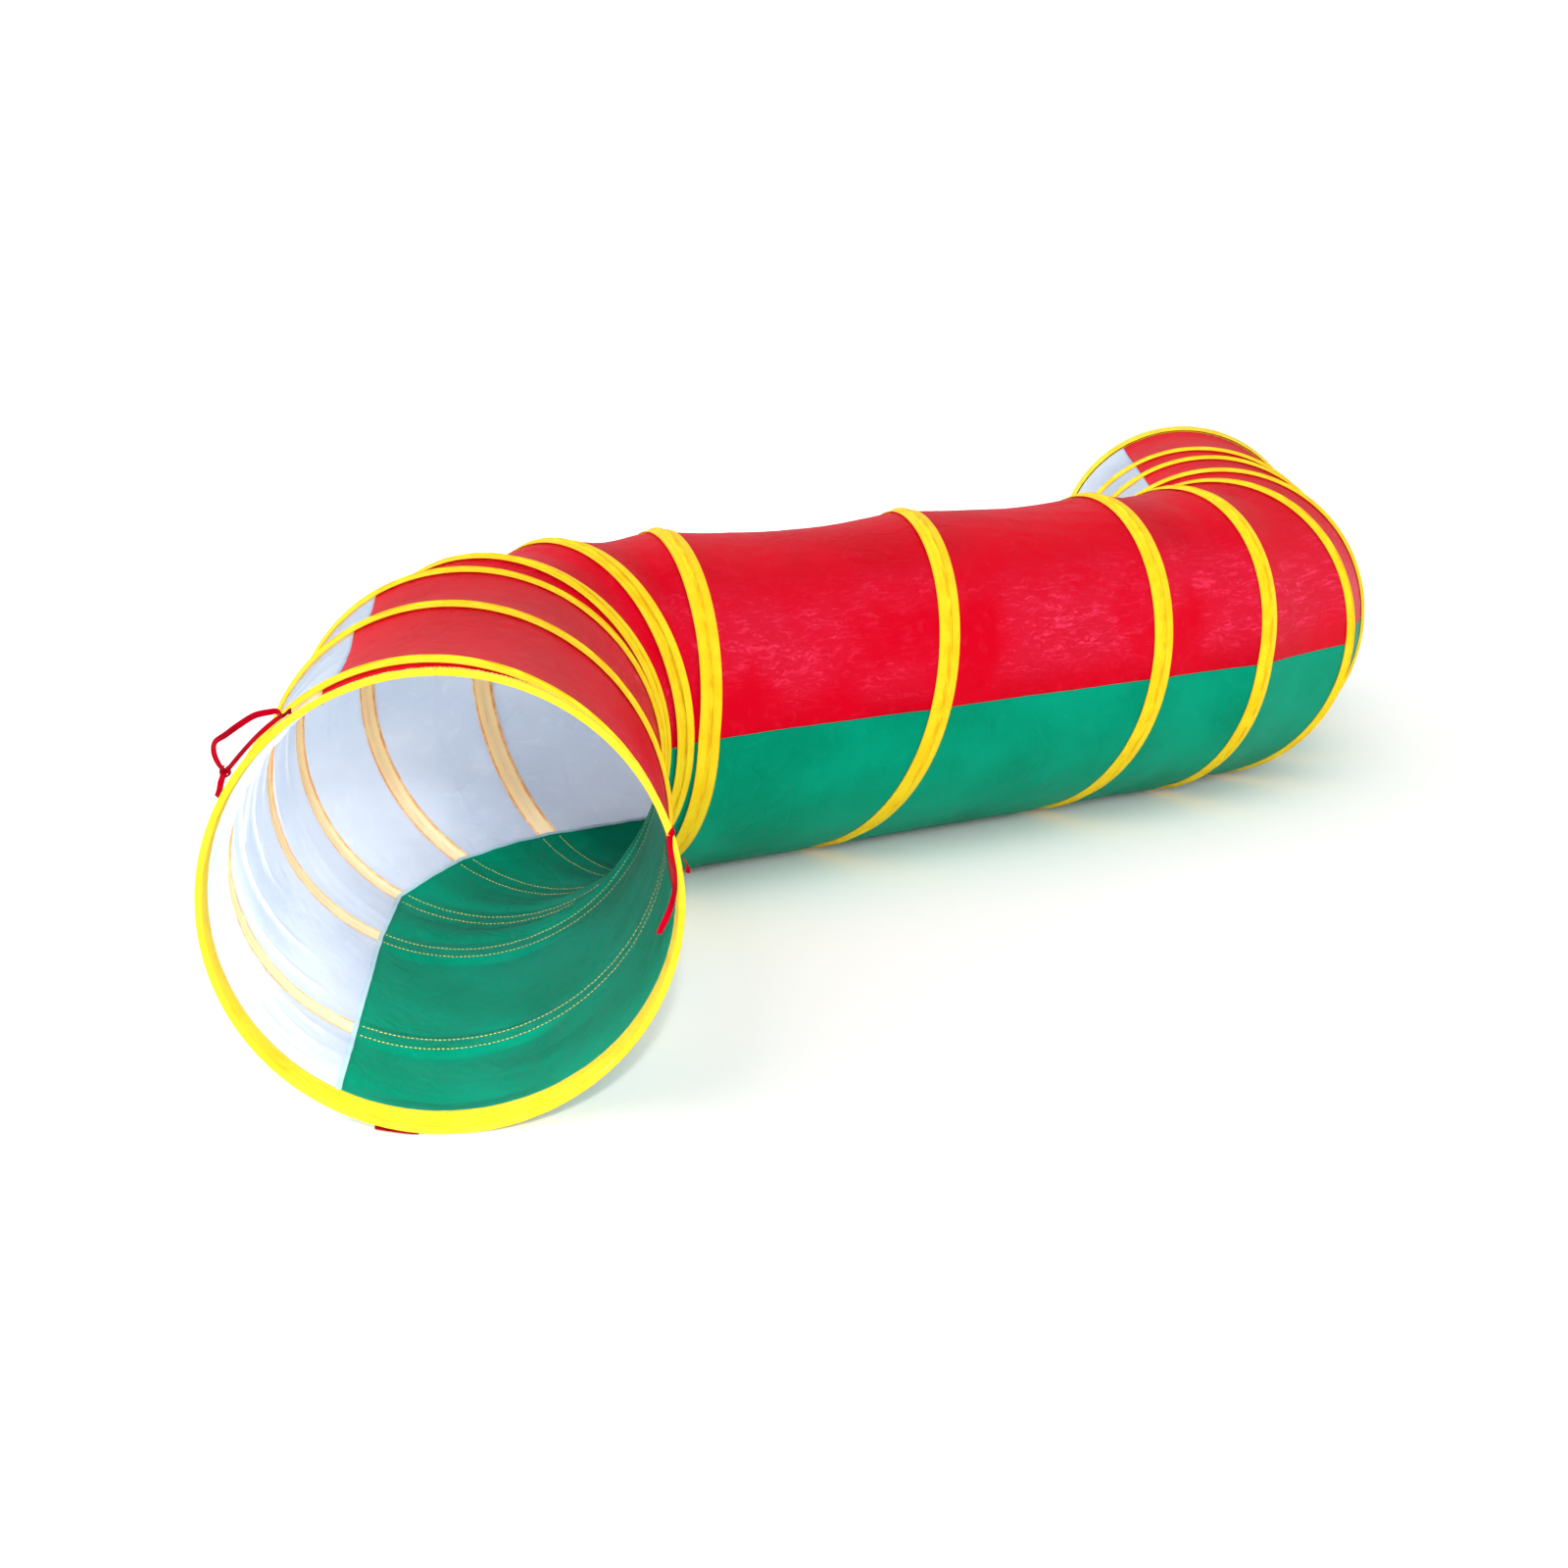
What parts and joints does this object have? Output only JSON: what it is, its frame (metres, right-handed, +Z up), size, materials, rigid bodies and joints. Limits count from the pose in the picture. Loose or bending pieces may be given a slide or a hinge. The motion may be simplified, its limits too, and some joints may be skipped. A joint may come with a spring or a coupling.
{
  "type": "pop-up agility and crawl tunnel",
  "caption": "Soft round tunnel in red, green and white panels on a coiled spring wire in yellow sleeves, lying in an S shape with both mouths open.",
  "frame": {"origin": "on the floor under the ring in the middle of the long run", "axes": "+X along the long run towards the far bend, +Y to its left, +Z up"},
  "size_m": [2.6702, 1.7243, 0.4836],
  "materials": {
    "spring_steel": "bare spring wire, faintly oiled",
    "yellow_tape": "satin woven nylon tape, stitched along both edges",
    "red_nylon": "thin crinkled nylon taffeta with a soft sheen",
    "white_nylon": "thin see-through white nylon taffeta",
    "green_nylon": "thin crinkled nylon taffeta with a soft sheen",
    "rim_binding": "satin binding folded over the rim",
    "crimp_steel": "plated steel",
    "tie_tape": "narrow woven tape"
  },
  "bodies": {
    "near_mouth": {"wire_1": "spring_steel", "sleeve_1": "yellow_tape", "red_panel_1": "red_nylon", "white_panel_1": "white_nylon", "green_panel_1": "green_nylon", "near_hem": "rim_binding", "near_crimp": "crimp_steel", "tie_bottom": "tie_tape"},
    "near_straight": {"wire_2": "spring_steel", "sleeve_2": "yellow_tape", "red_panel_2": "red_nylon", "white_panel_2": "white_nylon", "green_panel_2": "green_nylon"},
    "near_bend_1": {"wire_3": "spring_steel", "sleeve_3": "yellow_tape", "red_panel_3": "red_nylon", "white_panel_3": "white_nylon", "green_panel_3": "green_nylon"},
    "near_bend_2": {"wire_4": "spring_steel", "sleeve_4": "yellow_tape", "red_panel_4": "red_nylon", "white_panel_4": "white_nylon", "green_panel_4": "green_nylon"},
    "near_bend_3": {"wire_5": "spring_steel", "sleeve_5": "yellow_tape", "red_panel_5": "red_nylon", "white_panel_5": "white_nylon", "green_panel_5": "green_nylon"},
    "run_middle": {"wire_6": "spring_steel", "sleeve_6": "yellow_tape", "red_panel_6": "red_nylon", "white_panel_6": "white_nylon", "green_panel_6": "green_nylon"},
    "run_far": {"wire_7": "spring_steel", "sleeve_7": "yellow_tape", "red_panel_7": "red_nylon", "white_panel_7": "white_nylon", "green_panel_7": "green_nylon"},
    "far_bend_1": {"wire_8": "spring_steel", "sleeve_8": "yellow_tape", "red_panel_8": "red_nylon", "white_panel_8": "white_nylon", "green_panel_8": "green_nylon"},
    "far_bend_2": {"wire_9": "spring_steel", "sleeve_9": "yellow_tape", "red_panel_9": "red_nylon", "white_panel_9": "white_nylon", "green_panel_9": "green_nylon"},
    "far_mouth": {"wire_10": "spring_steel", "sleeve_10": "yellow_tape", "red_panel_10": "red_nylon", "white_panel_10": "white_nylon", "green_panel_10": "green_nylon", "far_hem": "rim_binding", "far_crimp": "crimp_steel"},
    "tie_top": {"tie_top": "tie_tape"},
    "tie_side": {"tie_side": "tie_tape"}
  },
  "joints": [
    {"name": "collapse", "type": "slide", "parent": "run_middle", "child": "near_bend_3", "axis": [1, 0, 0], "range_m": [-0.02896, 0.362], "deforming": ["wire_5", "sleeve_5", "red_panel_5", "white_panel_5", "green_panel_5", "wire_6", "sleeve_6", "red_panel_6", "white_panel_6", "green_panel_6"]},
    {"name": "far_run_gather", "type": "slide", "parent": "run_middle", "child": "run_far", "axis": [-1, 0, 0], "range_m": [-0.04672, 0.584], "deforming": ["wire_7", "sleeve_7", "red_panel_7", "white_panel_7", "green_panel_7"]},
    {"name": "near_bend", "type": "hinge", "parent": "near_bend_3", "child": "near_bend_2", "pos_m": [-0.381, -0.3143, 0.2418], "axis": [0, 0, 1], "range_deg": [-20, 8], "deforming": ["wire_4", "sleeve_4", "red_panel_4", "white_panel_4", "green_panel_4"]},
    {"name": "near_bend_middle", "type": "hinge", "parent": "near_bend_2", "child": "near_bend_1", "pos_m": [-0.39116, -0.32732, 0.2418], "axis": [0, 0, 1], "range_deg": [-25.5, 10.2], "deforming": ["wire_3", "sleeve_3", "red_panel_3", "white_panel_3", "green_panel_3"]},
    {"name": "near_bend_outer", "type": "hinge", "parent": "near_bend_1", "child": "near_straight", "pos_m": [-0.41231, -0.32616, 0.2418], "axis": [0, 0, 1], "range_deg": [-17, 6.8], "deforming": ["wire_2", "sleeve_2", "red_panel_2", "white_panel_2", "green_panel_2"]},
    {"name": "near_end_gather", "type": "slide", "parent": "near_straight", "child": "near_mouth", "axis": [0.4617, 0.887, 0], "range_m": [-0.04736, 0.592], "deforming": ["wire_1", "sleeve_1", "red_panel_1", "white_panel_1", "green_panel_1"]},
    {"name": "far_bend", "type": "hinge", "parent": "run_far", "child": "far_bend_1", "pos_m": [0.615, 0.25884, 0.2418], "axis": [0, 0, 1], "range_deg": [-27, 16.2], "deforming": ["wire_8", "sleeve_8", "red_panel_8", "white_panel_8", "green_panel_8"]},
    {"name": "far_bend_outer", "type": "hinge", "parent": "far_bend_1", "child": "far_bend_2", "pos_m": [0.62747, 0.2652, 0.2418], "axis": [0, 0, 1], "range_deg": [-27, 16.2], "deforming": ["wire_9", "sleeve_9", "red_panel_9", "white_panel_9", "green_panel_9"]},
    {"name": "far_end_gather", "type": "slide", "parent": "far_bend_2", "child": "far_mouth", "axis": [-0.5878, -0.809, 0], "range_m": [-0.05792, 0.724], "deforming": ["wire_10", "sleeve_10", "red_panel_10", "white_panel_10", "green_panel_10"]},
    {"name": "tie_top_flop", "type": "hinge", "parent": "near_mouth", "child": "tie_top", "pos_m": [-1.12809, -0.64802, 0.40195], "axis": [-0.5912, 0.3078, -0.7455], "range_deg": [-28, 28]},
    {"name": "tie_side_swing", "type": "hinge", "parent": "near_mouth", "child": "tie_side", "pos_m": [-0.77271, -0.84271, 0.3128], "axis": [-0.887, 0.4617, 0], "range_deg": [0, 70]}
  ],
  "couplings": [
    {"joint": "far_run_gather", "follows": "collapse", "ratio": 1.6133},
    {"joint": "near_end_gather", "follows": "collapse", "ratio": 1.6354},
    {"joint": "far_end_gather", "follows": "collapse", "ratio": 2},
    {"joint": "near_bend_middle", "follows": "near_bend", "ratio": 1.275},
    {"joint": "near_bend_outer", "follows": "near_bend", "ratio": 0.85},
    {"joint": "far_bend_outer", "follows": "far_bend", "ratio": 1}
  ]
}
